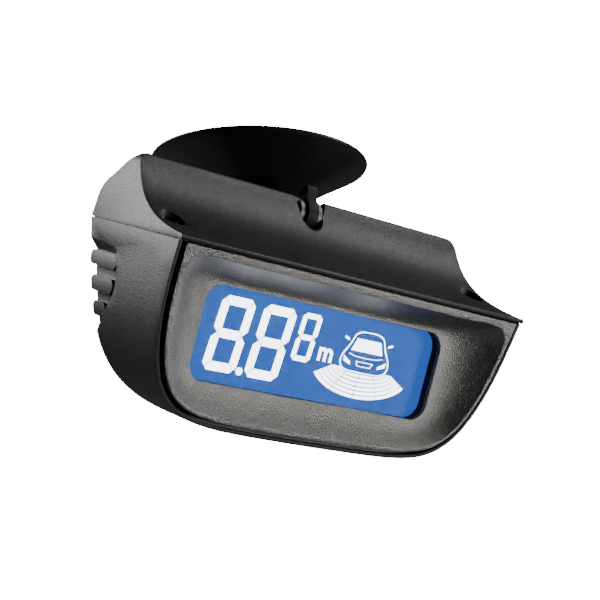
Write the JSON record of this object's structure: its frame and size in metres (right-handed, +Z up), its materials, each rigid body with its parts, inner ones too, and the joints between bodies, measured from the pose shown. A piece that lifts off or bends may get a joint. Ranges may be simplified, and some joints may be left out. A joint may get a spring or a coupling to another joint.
{
  "type": "parking sensor display",
  "caption": "Dashboard display for a parking sensor: dished bezel round a blue digit panel, in a trough-topped case that hangs from a suction cup.",
  "frame": {"origin": "centre of the suction cup's sealing face", "axes": "+Z up, +X to the right of a person reading the display, +Y into the display, towards the front of the car"},
  "size_m": [0.1026, 0.0753, 0.0703],
  "materials": {
    "casing_plastic": "fine spark-eroded grain, charcoal black, soft sheen",
    "bezel_plastic": "coarser spark-eroded grain, charcoal, satin",
    "black_gasket": "dull black",
    "clear_cover": "clear sheet, polished",
    "display_blue": "backlit blue display, smooth",
    "segment_white": "lit white segments",
    "frame_plastic": "white moulded plastic",
    "light_guide": "frosted clear acrylic",
    "lamp_white": "lamp package with yellow phosphor",
    "tinned_pin": "tinned wire",
    "board_green": "green solder mask",
    "chip_black": "moulded epoxy",
    "buzzer_black": "moulded black case",
    "can_aluminium": "satin can",
    "socket_cream": "natural nylon",
    "screw_steel": "zinc plated",
    "pin_steel": "plain steel",
    "washer_plastic": "black acetal",
    "arm_plastic": "black, dull",
    "cup_rubber": "black, satin, smooth"
  },
  "bodies": {
    "cup": {"suction_cup": "cup_rubber"},
    "arm": {"mount_arm": "arm_plastic"},
    "display": {"top_shell": "casing_plastic", "main_housing": "casing_plastic", "bezel": "bezel_plastic", "display_gasket": "black_gasket", "display_cover": "clear_cover", "lcd_panel": "display_blue", "lcd_segments": "segment_white", "lcd_icons": "segment_white", "display_frame": "frame_plastic", "backlight_guide": "light_guide", "backlight_leds": "lamp_white", "lcd_pins": "tinned_pin", "main_board": "board_green", "controller_chip": "chip_black", "voltage_regulator": "chip_black", "buzzer": "buzzer_black", "capacitors": "can_aluminium", "resistors": "chip_black", "cable_socket": "socket_cream", "board_screws": "screw_steel", "case_screws": "screw_steel", "hinge_pin": "pin_steel", "hinge_washers": "washer_plastic"}
  },
  "joints": [
    {"name": "cup_swivel", "type": "hinge", "parent": "cup", "child": "arm", "pos_m": [0, 0, 0], "axis": [0, 0.3469, 0.9379], "continuous": true},
    {"name": "display_tilt", "type": "hinge", "parent": "arm", "child": "display", "pos_m": [0, -0.0216, -0.01], "axis": [-1, 0, 0], "range_deg": [0, 50]}
  ]
}
